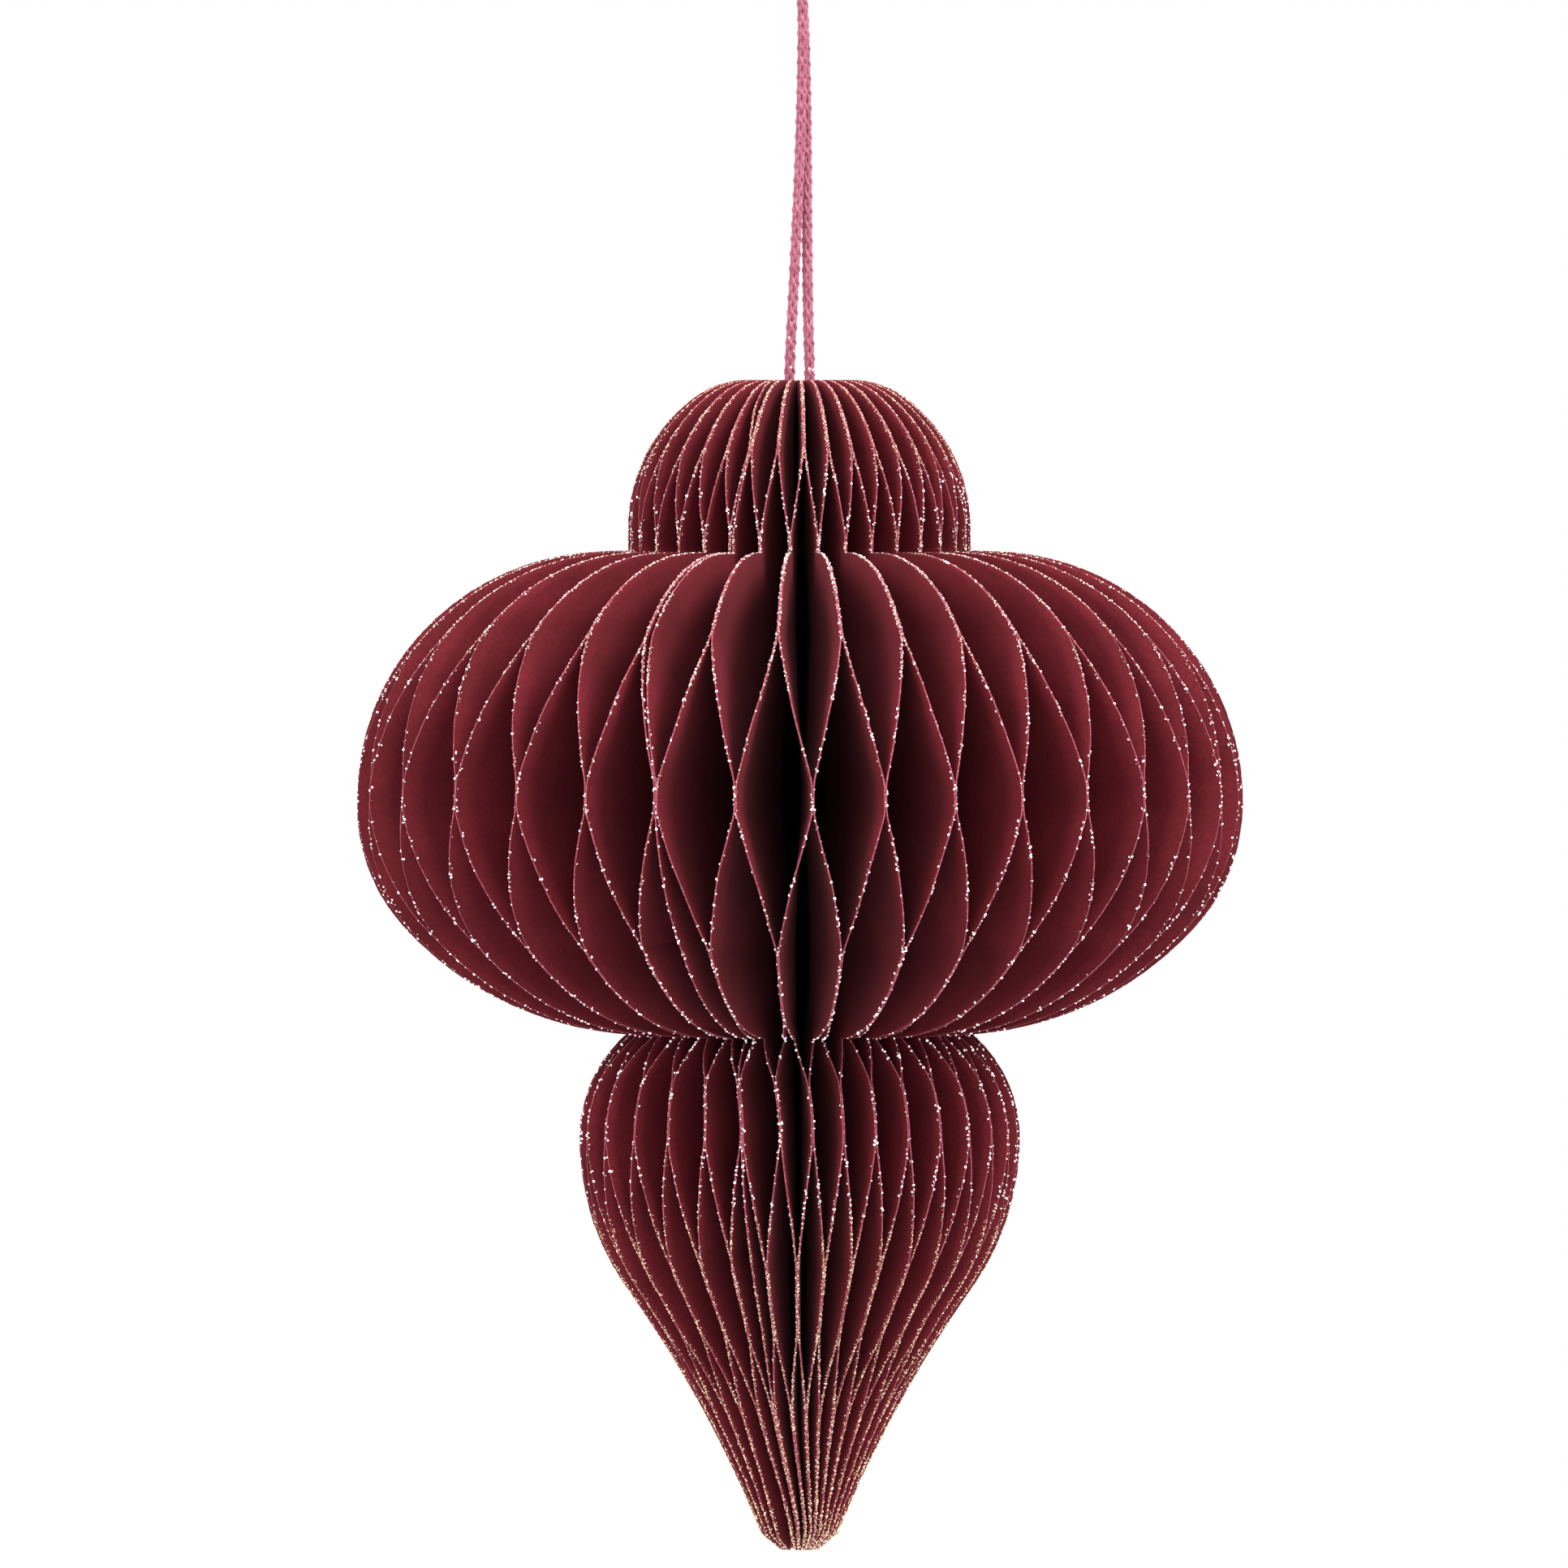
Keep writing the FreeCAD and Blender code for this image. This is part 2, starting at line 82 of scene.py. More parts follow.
# ---------------------------------------------------------------- camera
# a long lens from well back, level with the top of the dome and tilted down to the middle of the view
CAMERA_DISTANCE = 2400.0
CAMERA_HEIGHT = TOP
VIEW_CENTRE = (-2.0, 0.0, -107.1)
VIEW_WIDTH = 202.5
SENSOR = 36.0
camera_data = bpy.data.cameras.new("camera")
camera_data.sensor_width = SENSOR
camera_data.lens = SENSOR * CAMERA_DISTANCE / VIEW_WIDTH
camera_data.clip_start = 0.05
camera_data.clip_end = 30.0
camera = bpy.data.objects.new("camera", camera_data)
bpy.context.collection.objects.link(camera)
camera.location = metres((VIEW_CENTRE[0], -CAMERA_DISTANCE, CAMERA_HEIGHT))
tilt = math.atan2(CAMERA_HEIGHT - VIEW_CENTRE[2], CAMERA_DISTANCE)
camera.rotation_euler = (math.radians(90) - tilt, 0, 0)
bpy.context.scene.camera = camera

# ---------------------------------------------------------------- cord: route and length
CORD_STEP = 0.25
KNOT_TOP = -60.5
CORD_ROUTE = [
    (-1.35, 0.00, KNOT_TOP), (-1.35, 0.00, -54.5), (-1.00, -0.20, -47.6), (-0.47, -0.45, -37.5),
    (0.02, -0.62, -27.0), (0.30, -0.75, -17.5), (0.42, -0.82, -10.6), (0.38, -1.10, -6.4),
    (0.15, -1.90, -3.1), (0.00, -1.95, 0.75), (0.00, 1.95, 0.75), (0.15, 1.90, -3.1),
    (0.44, 1.10, -6.4), (0.64, 0.82, -10.6), (0.84, 0.75, -17.5), (0.94, 0.64, -27.0),
    (0.99, 0.43, -37.5), (1.12, 0.18, -47.6), (1.35, 0.00, -54.5), (1.35, 0.00, KNOT_TOP),
]


def spline_points(name, route):
    """The evaluated points of one smooth NURBS curve along a route, in metres."""
    data = bpy.data.curves.new(name, "CURVE")
    data.dimensions = "3D"
    data.resolution_u = 24
    spline = data.splines.new("NURBS")
    spline.points.add(len(route) - 1)
    for point, place in zip(spline.points, route):
        point.co = (*metres(place), 1.0)
    spline.order_u = 3
    spline.use_endpoint_u = True
    curve = bpy.data.objects.new(name, data)
    bpy.context.collection.objects.link(curve)
    seen = curve.evaluated_get(bpy.context.evaluated_depsgraph_get())
    mesh = bpy.data.meshes.new_from_object(seen)
    points = [v.co.copy() for v in mesh.vertices]
    bpy.data.objects.remove(curve)
    bpy.data.meshes.remove(mesh)
    return points


def evenly(points, step):
    """The same line with its points a fixed step apart, and its length."""
    lengths = [0.0]
    for a, b in zip(points, points[1:]):
        lengths.append(lengths[-1] + (b - a).length)
    count = max(2, round(lengths[-1] / step))
    spaced = []
    segment = 0
    for i in range(count + 1):
        at = lengths[-1] * i / count
        while segment < len(lengths) - 2 and lengths[segment + 1] < at:
            segment += 1
        span = lengths[segment + 1] - lengths[segment]
        share = (at - lengths[segment]) / span if span else 0.0
        spaced.append(points[segment].lerp(points[segment + 1], share))
    return spaced, lengths[-1]


CORD_LINE, CORD_LENGTH = evenly(spline_points("cord_centreline", CORD_ROUTE), CORD_STEP * MM)

# ---------------------------------------------------------------- colour and node helpers


def linear(hex_colour):
    """An sRGB hex colour as linear RGBA."""
    parts = [int(hex_colour[i:i + 2], 16) / 255 for i in (1, 3, 5)]
    return tuple(c / 12.92 if c <= 0.04045 else ((c + 0.055) / 1.055) ** 2.4 for c in parts) + (1.0,)


def put(tree, kind, links=(), inputs=None, stops=(), **settings):
    """Add a node with its links (source socket, input name), input values, colour stops and properties."""
    node = tree.nodes.new(kind)
    for key, value in settings.items():
        setattr(node, key, value)
    for key, value in (inputs or {}).items():
        node.inputs[key].default_value = value
    for source, target in links:
        tree.links.new(source, node.inputs[target])
    if stops:
        elements = node.color_ramp.elements
        while len(elements) < len(stops):
            elements.new(0.5)
        for element, (position, colour) in zip(elements, stops):
            element.position = position
            element.color = linear(colour)
    return node


def new_material(name, surface):
    """A material with one Principled shader, whose own input values are given in surface."""
    made = bpy.data.materials.new(name)
    made.use_nodes = True
    tree = made.node_tree
    tree.nodes.clear()
    shader = put(tree, "ShaderNodeBsdfPrincipled", inputs=surface)
    put(tree, "ShaderNodeOutputMaterial", [(shader.outputs["BSDF"], "Surface")])
    return made, tree, shader


# ---------------------------------------------------------------- materials
# Noise scales are how many features there are to a millimetre, times PER_M.
CARD_DARK, CARD_MID, CARD_LIGHT = "#58191f", "#702029", "#852a35"
EDGE_DARK, EDGE_MID, EDGE_LIGHT = "#843646", "#b05364", "#d88994"
# the cord's dark and light are spread wide: partly the yarn's own tones, partly painted shade in its
# crevices and painted highlight on its ridges
CORD_DARK_PAINTED_SHADE, CORD_MID, CORD_LIGHT_PAINTED_HIGHLIGHT = "#8f4a5d", "#bf7186", "#e3a0ae"
CLOUD_SHARE = 0.45


def dyed_card():
    """Uncoated card, dyed through: matte burgundy, a felt of fibres, a faint bloom at grazing angles."""
    made, tree, shader = new_material("dyed_uncoated_card", {
        "Roughness": 0.92, "IOR": 1.45, "Specular IOR Level": 0.18,
        "Sheen Weight": 0.12, "Sheen Roughness": 0.5, "Sheen Tint": linear("#d98a92")})
    place = put(tree, "ShaderNodeTexCoord")
    # fibres 0.3 mm wide and twice as long: real ones are finer, and these are coarse enough to show
    fibre_map = put(tree, "ShaderNodeMapping", [(place.outputs["Object"], "Vector")],
                    inputs={"Scale": (3.2 * PER_M, 3.2 * PER_M, 1.6 * PER_M)})
    fibres = put(tree, "ShaderNodeTexNoise", [(fibre_map.outputs["Vector"], "Vector")],
                 inputs={"Scale": 1.0, "Detail": 4.0, "Roughness": 0.65})
    # cloudy patches 9 mm wide, where the pulp took the dye unevenly
    clouds = put(tree, "ShaderNodeTexNoise", [(place.outputs["Object"], "Vector")],
                 inputs={"Scale": 0.11 * PER_M, "Detail": 3.0, "Roughness": 0.5})
    mixed = put(tree, "ShaderNodeMix", [(fibres.outputs["Fac"], 2), (clouds.outputs["Fac"], 3)],
                data_type="FLOAT", inputs={0: CLOUD_SHARE})
    tone = put(tree, "ShaderNodeValToRGB", [(mixed.outputs[0], "Fac")],
               stops=[(0.30, CARD_DARK), (0.52, CARD_MID), (0.74, CARD_LIGHT)])
    tree.links.new(tone.outputs["Color"], shader.inputs["Base Color"])
    bump = put(tree, "ShaderNodeBump", [(fibres.outputs["Fac"], "Height")],
               inputs={"Strength": 0.35, "Distance": 0.05 * MM})
    tree.links.new(bump.outputs["Normal"], shader.inputs["Normal"])
    return made


def cut_edge():
    """The die-cut edge: torn fibres and spray glue catch more light than the face, a rough dusty pink."""
    made, tree, shader = new_material("die_cut_card_edge", {"Roughness": 0.8, "Specular IOR Level": 0.3})
    place = put(tree, "ShaderNodeTexCoord")
    # tufts 0.3 mm wide, about the card's thickness
    torn = put(tree, "ShaderNodeTexNoise", [(place.outputs["Object"], "Vector")],
               inputs={"Scale": 3.4 * PER_M, "Detail": 3.0, "Roughness": 0.7})
    tone = put(tree, "ShaderNodeValToRGB", [(torn.outputs["Fac"], "Fac")],
               stops=[(0.34, EDGE_DARK), (0.52, EDGE_MID), (0.70, EDGE_LIGHT)])
    tree.links.new(tone.outputs["Color"], shader.inputs["Base Color"])
    bump = put(tree, "ShaderNodeBump", [(torn.outputs["Fac"], "Height")],
               inputs={"Strength": 0.6, "Distance": 0.1 * MM})
    tree.links.new(bump.outputs["Normal"], shader.inputs["Normal"])
    return made


def glitter():
    """Foil glitter grains: silver and champagne flakes; a few of them glow with a painted glint through
    emission, and the rest are darker and duskier.
    """
    made, tree, shader = new_material("foil_glitter", {"Metallic": 0.5, "Roughness": 0.34})
    # tone runs from 0 to 1 through the silver grains and on to 2 through the champagne ones
    tone = put(tree, "ShaderNodeAttribute", attribute_name="tone")
    half = put(tree, "ShaderNodeMath", [(tone.outputs["Fac"], 0)], operation="MULTIPLY", inputs={1: 0.5})
    colour = put(tree, "ShaderNodeValToRGB", [(half.outputs[0], "Fac")], stops=[
        (0.0, "#ffffff"), (0.25, "#f8efec"), (0.42, "#dcb6ae"), (0.50, "#b9747c"),
        (0.52, "#fff3de"), (0.72, "#e3c396"), (0.88, "#c59a70"), (1.0, "#9a5f50")])
    # painted glints: some grains glow through emission, as bright as the white round them, where a real
    # grain would mirror a lamp
    painted_glint = put(tree, "ShaderNodeValToRGB", [(half.outputs[0], "Fac")], stops=[
        (0.0, "#f4f4f4"), (0.20, "#e4e4e4"), (0.34, "#303030"), (0.50, "#000000"),
        (0.52, "#d2d2d2"), (0.70, "#9a9a9a"), (0.86, "#303030"), (1.0, "#000000")])
    tree.links.new(colour.outputs["Color"], shader.inputs["Base Color"])
    tree.links.new(painted_glint.outputs["Color"], shader.inputs["Emission Strength"])
    tree.links.new(colour.outputs["Color"], shader.inputs["Emission Color"])
    return made


def cotton():
    """Soft cotton yarn: matte pink, fine fibres along each strand whose dark and light are partly painted
    shade and highlight, and a pale fuzz at grazing angles.
    """
    made, tree, shader = new_material("braided_cotton", {
        "Roughness": 0.9, "Specular IOR Level": 0.15,
        "Sheen Weight": 0.35, "Sheen Roughness": 0.45, "Sheen Tint": linear("#f6cfd6")})
    along = put(tree, "ShaderNodeUVMap", uv_map="strand")
    # fibres 0.9 mm long and five to the way round a strand, coarser than real ones so that they show
    fibre_map = put(tree, "ShaderNodeMapping", [(along.outputs["UV"], "Vector")],
                    inputs={"Scale": (1.1 * PER_M, 5.0, 1.0)})
    fibres = put(tree, "ShaderNodeTexNoise", [(fibre_map.outputs["Vector"], "Vector")],
                 inputs={"Scale": 1.0, "Detail": 4.0, "Roughness": 0.7})
    # dark fibres are partly painted shade and light ones partly painted highlight, following the bump
    tone = put(tree, "ShaderNodeValToRGB", [(fibres.outputs["Fac"], "Fac")],
               stops=[(0.30, CORD_DARK_PAINTED_SHADE), (0.52, CORD_MID), (0.72, CORD_LIGHT_PAINTED_HIGHLIGHT)])
    tree.links.new(tone.outputs["Color"], shader.inputs["Base Color"])
    bump = put(tree, "ShaderNodeBump", [(fibres.outputs["Fac"], "Height")],
               inputs={"Strength": 0.7, "Distance": 0.08 * MM})
    tree.links.new(bump.outputs["Normal"], shader.inputs["Normal"])
    return made


def knotted_cotton():
    """The cord pulled into a hard knot: the same cotton with ridges wound round it, painted darker in the
    grooves as painted shade and lighter on the crests as painted highlight.
    """
    made, tree, shader = new_material("knotted_cotton", {"Roughness": 0.9})
    place = put(tree, "ShaderNodeTexCoord")
    turned_map = put(tree, "ShaderNodeMapping", [(place.outputs["Object"], "Vector")],
                     inputs={"Rotation": (0.5, 0.3, 0.0)})
    # ridges 1.3 mm apart, a little less than the cord's thickness
    strands = put(tree, "ShaderNodeTexWave", [(turned_map.outputs["Vector"], "Vector")],
                  bands_direction="Z", inputs={"Scale": 0.25 * PER_M, "Distortion": 2.0, "Detail": 2.0})
    # dark in the grooves as painted shade and light on the ridges as painted highlight
    tone = put(tree, "ShaderNodeValToRGB", [(strands.outputs["Fac"], "Fac")],
               stops=[(0.1, CORD_DARK_PAINTED_SHADE), (0.5, CORD_MID), (0.9, CORD_LIGHT_PAINTED_HIGHLIGHT)])
    tree.links.new(tone.outputs["Color"], shader.inputs["Base Color"])
    bump = put(tree, "ShaderNodeBump", [(strands.outputs["Fac"], "Height")],
               inputs={"Strength": 0.9, "Distance": 0.2 * MM})
    tree.links.new(bump.outputs["Normal"], shader.inputs["Normal"])
    return made


def hot_glue():
    """Clear hot-melt glue: milky, a little glossy, with slow ripples 1.7 mm wide where it set."""
    made, tree, shader = new_material("hot_melt_glue", {
        "Roughness": 0.3, "IOR": 1.48, "Transmission Weight": 0.35})
    place = put(tree, "ShaderNodeTexCoord")
    ripples = put(tree, "ShaderNodeTexNoise", [(place.outputs["Object"], "Vector")],
                  inputs={"Scale": 0.6 * PER_M, "Detail": 2.0})
    tone = put(tree, "ShaderNodeValToRGB", [(ripples.outputs["Fac"], "Fac")],
               stops=[(0.35, "#8d7f8c"), (0.65, "#c3b8c2")])
    tree.links.new(tone.outputs["Color"], shader.inputs["Base Color"])
    bump = put(tree, "ShaderNodeBump", [(ripples.outputs["Fac"], "Height")],
               inputs={"Strength": 0.5, "Distance": 0.2 * MM})
    tree.links.new(bump.outputs["Normal"], shader.inputs["Normal"])
    return made


def nickel():
    """Nickel plate on a sintered disc: bright, with faint scuffs 0.7 mm wide from handling."""
    made, tree, shader = new_material("nickel_plate", {"Metallic": 1.0})
    place = put(tree, "ShaderNodeTexCoord")
    scuffs = put(tree, "ShaderNodeTexNoise", [(place.outputs["Object"], "Vector")],
                 inputs={"Scale": 1.4 * PER_M, "Detail": 4.0, "Roughness": 0.6})
    rough = put(tree, "ShaderNodeMapRange", [(scuffs.outputs["Fac"], "Value")],
                inputs={"From Min": 0.3, "From Max": 0.7, "To Min": 0.16, "To Max": 0.38})
    tone = put(tree, "ShaderNodeValToRGB", [(scuffs.outputs["Fac"], "Fac")],
               stops=[(0.3, "#b3b1ad"), (0.7, "#cfcdc8")])
    tree.links.new(tone.outputs["Color"], shader.inputs["Base Color"])
    tree.links.new(rough.outputs["Result"], shader.inputs["Roughness"])
    return made


CARD = dyed_card()
EDGE = cut_edge()
GRAINS = glitter()
COTTON = cotton()
KNOT = knotted_cotton()
GLUE = hot_glue()
NICKEL = nickel()

# ---------------------------------------------------------------- outline of a leaf
DOME_FLAT = 7.0
SHOULDER_CURVE = 11.0
DOME_SIDE_DROP = 19.0
DOME_RADIUS = 22.1
CROWN_RADIUS = 25.0
# the crown starts a hair below the neck, so that the step out to it isn't quite level
CROWN_DROP = 0.02
BODY_RADIUS = 57.3
BODY_CURVE = 24.0
BASE_CURVE = 42.0
LOWER_NECK_RADIUS = 22.2
DROP_RADIUS = 28.45
DROP_CURVE = 33.6
TAPER_CURVE = 160.0
TAPER_FLARE = 1.14
TIP_FLARE = 0.25
INNER_RADIUS = 3.7584
# at the tip the leaves are crushed thin and reach further in
TIP_INNER = 2.2
OUTLINE_STEP = 0.8


def crossing(centre_a, radius_a, centre_b, radius_b, side):
    """Where two circles cross, on the given side of the line from a to b."""
    gap = centre_b - centre_a
    along = (radius_a**2 - radius_b**2 + gap.length**2) / (2 * gap.length)
    across = math.sqrt(radius_a**2 - along**2)
    ahead = gap.normalized()
    return centre_a + ahead * along + Vector((-ahead.y, ahead.x)) * (across * side)


def arc_points(centre, start, end, clockwise=True):
    """Points along an arc from start up to, but not at, its end."""
    radius = (start - centre).length
    first = math.atan2(start.y - centre.y, start.x - centre.x)
    last = math.atan2(end.y - centre.y, end.x - centre.x)
    if clockwise and last > first:
        last -= 2 * math.pi
    if not clockwise and last < first:
        last += 2 * math.pi
    count = max(2, math.ceil(abs(last - first) * radius / OUTLINE_STEP))
    angles = [first + (last - first) * i / count for i in range(count)]
    return [centre + Vector((math.cos(a), math.sin(a))) * radius for a in angles]


def line_points(start, end):
    """Points along a straight line from start up to, but not at, its end."""
    count = max(1, math.ceil((end - start).length / OUTLINE_STEP))
    return [start.lerp(end, i / count) for i in range(count)]


def upright_centre(end, level_point):
    """Centre of the arc that is upright at level_point and passes through end."""
    across = level_point.x - end.x
    along = level_point.y - end.y
    return Vector((level_point.x - (across**2 + along**2) / (2 * across), level_point.y))


def leaf_outline():
    """The outer edge of a leaf from the top of the dome to the tip, as (distance from the axis, height)."""
    flat_end = Vector((DOME_FLAT, TOP))
    dome_side = Vector((DOME_RADIUS, TOP - DOME_SIDE_DROP))
    neck = Vector((DOME_RADIUS, UPPER_NECK))
    crown = Vector((CROWN_RADIUS, UPPER_NECK - CROWN_DROP))
    body_side = Vector((BODY_RADIUS, BODY_MIDDLE))
    lower_neck = Vector((LOWER_NECK_RADIUS, LOWER_NECK))
    drop_side = Vector((DROP_RADIUS, DROP_MIDDLE))
    taper_end = Vector((INNER_RADIUS + TAPER_FLARE, TAPER_END))
    blunt_end = Vector((TIP_INNER + TIP_FLARE, BOTTOM))

    shoulder_centre = Vector((DOME_FLAT, TOP - SHOULDER_CURVE))
    across = dome_side.x - shoulder_centre.x
    drop = DOME_SIDE_DROP - SHOULDER_CURVE
    side_radius = (across**2 + drop**2 - SHOULDER_CURVE**2) / (2 * (across - SHOULDER_CURVE))
    side_centre = Vector((dome_side.x - side_radius, dome_side.y))
    shoulder_end = side_centre + (shoulder_centre - side_centre).normalized() * side_radius

    body_centre = Vector((BODY_RADIUS - BODY_CURVE, BODY_MIDDLE))
    base_centre = crossing(body_centre, BASE_CURVE - BODY_CURVE, lower_neck, BASE_CURVE, -1)
    base_start = base_centre + (body_centre - base_centre).normalized() * BASE_CURVE

    drop_centre = Vector((DROP_RADIUS - DROP_CURVE, DROP_MIDDLE))
    taper_centre = crossing(drop_centre, DROP_CURVE + TAPER_CURVE, taper_end, TAPER_CURVE, 1)
    taper_start = drop_centre + (taper_centre - drop_centre).normalized() * DROP_CURVE

    points = arc_points(shoulder_centre, flat_end, shoulder_end)
    points += arc_points(side_centre, shoulder_end, dome_side)
    points += line_points(dome_side, neck)
    points += [neck]
    points += arc_points(upright_centre(crown, body_side), crown, body_side)
    points += arc_points(body_centre, body_side, base_start)
    points += arc_points(base_centre, base_start, lower_neck)
    points += arc_points(upright_centre(lower_neck, drop_side), lower_neck, drop_side)
    points += arc_points(drop_centre, drop_side, taper_start)
    points += arc_points(taper_centre, taper_start, taper_end, clockwise=False)
    points += line_points(taper_end, blunt_end)
    return points + [blunt_end]


OUTLINE = leaf_outline()

# ---------------------------------------------------------------- glue bands
# Depths below the top of the dome between which a leaf is glued to its own pair, or to the next pair.
PAIR_BANDS = [(0.0, 9.0), (50.8, 54.6), (89.5, 97.6), (132.6, 151.0)]
NEXT_BANDS = [(19.9, 32.4), (72.3, 82.3), (113.2, 122.8)]
BAND_EASE = 0.6
BAND_MARKS = sorted([(a, b, 0.0) for a, b in PAIR_BANDS] + [(a, b, 1.0) for a, b in NEXT_BANDS])


def raw_swing(depth):
    """0 where a leaf is glued to its own pair, 1 where it is glued to the next, and a share between."""
    for (_, end, value), (start, _, following) in zip(BAND_MARKS, BAND_MARKS[1:]):
        if depth < end:
            return value
        if depth < start:
            return value + (following - value) * (depth - end) / (start - end)
    return BAND_MARKS[-1][2]


SWING_MEMORY = {}


def swing(height):
    """raw_swing with its corners rounded, kept for each height because every leaf asks for it."""
    if height not in SWING_MEMORY:
        depth = TOP - height
        SWING_MEMORY[height] = sum(raw_swing(depth + shift) for shift in (-BAND_EASE, 0.0, BAND_EASE)) / 3
    return SWING_MEMORY[height]


# ---------------------------------------------------------------- directions of the pairs
PAIRS = 36
PAIR_ANGLE = 360.0 / PAIRS
SEAM = -108.5
# how far the pairs beside the seam stand off an even spacing, in degrees: paper never spreads quite evenly
LEFT_LEAN = [0.0, 0.2, -0.4, -1.5, -3.9, -5.9]
RIGHT_LEAN = [0.0, 0.3, 0.15, -0.6, -1.4, -2.0, -1.9, -1.5, -1.3, -0.8]
UNSEEN_LEAN = 0.5
lean_draw = random.Random(11)


def lean(number):
    """How far a pair stands off its even place, measured in the direction of growing angle."""
    half = PAIRS // 2
    if number < len(LEFT_LEAN):
        return LEFT_LEAN[number]
    if PAIRS - number < len(RIGHT_LEAN):
        return RIGHT_LEAN[PAIRS - number]
    if number <= half:
        rest = (half - number) / (half - len(LEFT_LEAN) + 1)
        return LEFT_LEAN[-1] * rest + lean_draw.uniform(-UNSEEN_LEAN, UNSEEN_LEAN)
    rest = (number - half) / (half - len(RIGHT_LEAN) + 1)
    return RIGHT_LEAN[-1] * rest + lean_draw.uniform(-UNSEEN_LEAN, UNSEEN_LEAN)


ANGLES = [SEAM - PAIR_ANGLE * k + lean(k) for k in range(PAIRS + 1)]
# The drop hangs with a slight twist at the seam. At the tip the pairs about the seam lean to the right, and
# that leaves a wide gap between pair_01 and pair_02. The shares are for the pairs from the seam out.
DROP_TWIST = 3.6
TWIST_LENGTH = 12.0
TWIST_LEFT = [1.0, 0.85, 0.7, 0.5, 0.3, 0.1]
TWIST_RIGHT = [1.0, 0.9, 0.5, 0.15]
TIP_LEAN = 13.4
TIP_LEAN_RISE = 22.0
TIP_LEAN_LENGTH = 21.0
TIP_LEAN_POWER = 2.5
LEAN_LEFT = [1.0, 1.0, 0.0]
LEAN_RIGHT = [1.0, 1.0, 0.95, 0.88, 0.74, 0.6, 0.46, 0.34, 0.24, 0.15, 0.07]


def share_of(shares, step):
    return shares[step] if step < len(shares) else 0.0


def pair_angle(number, height):
    """The direction of a pair's plane at a height, in degrees."""
    to_right = PAIRS - number
    twist = share_of(TWIST_LEFT, number) + share_of(TWIST_RIGHT, to_right)
    tip_lean = share_of(LEAN_LEFT, number) + share_of(LEAN_RIGHT, to_right)
    into_drop = eased((LOWER_NECK - height) / TWIST_LENGTH)
    down_taper = (TAPER_END + TIP_LEAN_RISE - height) / TIP_LEAN_LENGTH
    at_tip = min(max(down_taper, 0.0), 1.0) ** TIP_LEAN_POWER
    return ANGLES[number] + DROP_TWIST * twist * into_drop + TIP_LEAN * tip_lean * at_tip


# ---------------------------------------------------------------- leaves
CARD_THICKNESS = 0.30
# half of the card and of the glue between the two leaves of a pair
LEAF_OFFSET = 0.16
# share of the thickness that is left at the cut edge, and share that is lost in the crowded tip
EDGE_PRESSED = 0.6
TIP_CRUSH = 0.35
CRUSH_RISE = 16.0
CRUSH_LENGTH = 14.0
# how far above the taper's end the leaves start to reach further in, and over what length
REACH_RISE = 22.0
REACH_LENGTH = 20.0
# waves in each free stretch of a leaf: radians to the millimetre, and degrees
WOBBLES = 3
WOBBLE_RATE = (0.16, 0.5)
WOBBLE_SIZE = (0.03, 0.09)
ANY_PHASE = 6.3


def thickness_left(height, edge):
    """Share of the card's thickness left: the die presses the cut edge, and the tip is crushed."""
    at_tip = eased((TAPER_END + CRUSH_RISE - height) / CRUSH_LENGTH)
    return (1 - (1 - EDGE_PRESSED) * edge) * (1 - TIP_CRUSH * at_tip)


def body_name(number):
    if number == 0:
        return "cover_left"
    if number == PAIRS:
        return "cover_right"
    return f"pair_{number:02d}"


class Leaf:
    """One card leaf. side is 1 for the leaf on the side of growing angle and -1 for the other."""

    def __init__(self, name, number, side, inner=INNER_RADIUS, rest_offset=None):
        self.name = name
        self.number = number
        self.side = side
        self.inner = inner
        self.rest_offset = side * LEAF_OFFSET if rest_offset is None else rest_offset
        self.neighbour = min(max(number - side, 0), PAIRS)
        draw = random.Random(100 + number * 3 + side)
        self.wobble = [(draw.uniform(*WOBBLE_RATE), draw.uniform(0, ANY_PHASE), draw.uniform(*WOBBLE_SIZE))
                       for _ in range(WOBBLES)]

    def inner_at(self, height):
        """Distance from the axis at which the leaf starts."""
        at_tip = eased((TAPER_END + REACH_RISE - height) / REACH_LENGTH)
        return self.inner + (TIP_INNER - self.inner) * at_tip

    def offset(self, radius, height, edge):
        """Distance of the mid-surface from its plane through the axis; only an end leaf needs radius."""
        return self.rest_offset * (1 - 2 * swing(height)) * thickness_left(height, edge)

    def angle(self, height):
        """The leaf's direction: its own pair's, or half-way to the next pair's where it is glued to that."""
        w = swing(height)
        own = pair_angle(self.number, height)
        ripple = sum(a * math.sin(f * height + p) for f, p, a in self.wobble)
        return own + (pair_angle(self.neighbour, height) - own) / 2 * w + ripple * min(w, 1 - w) * 2

    def point(self, radius, height, aside=0.0, edge=0.0):
        """A point of the leaf; aside is measured square to the leaf, and edge is 1 at the cut."""
        a = math.radians(self.angle(height))
        off = self.offset(radius, height, edge) + aside
        x = radius * math.cos(a) - off * math.sin(a)
        y = radius * math.sin(a) + off * math.cos(a)
        return Vector((x, y, height))


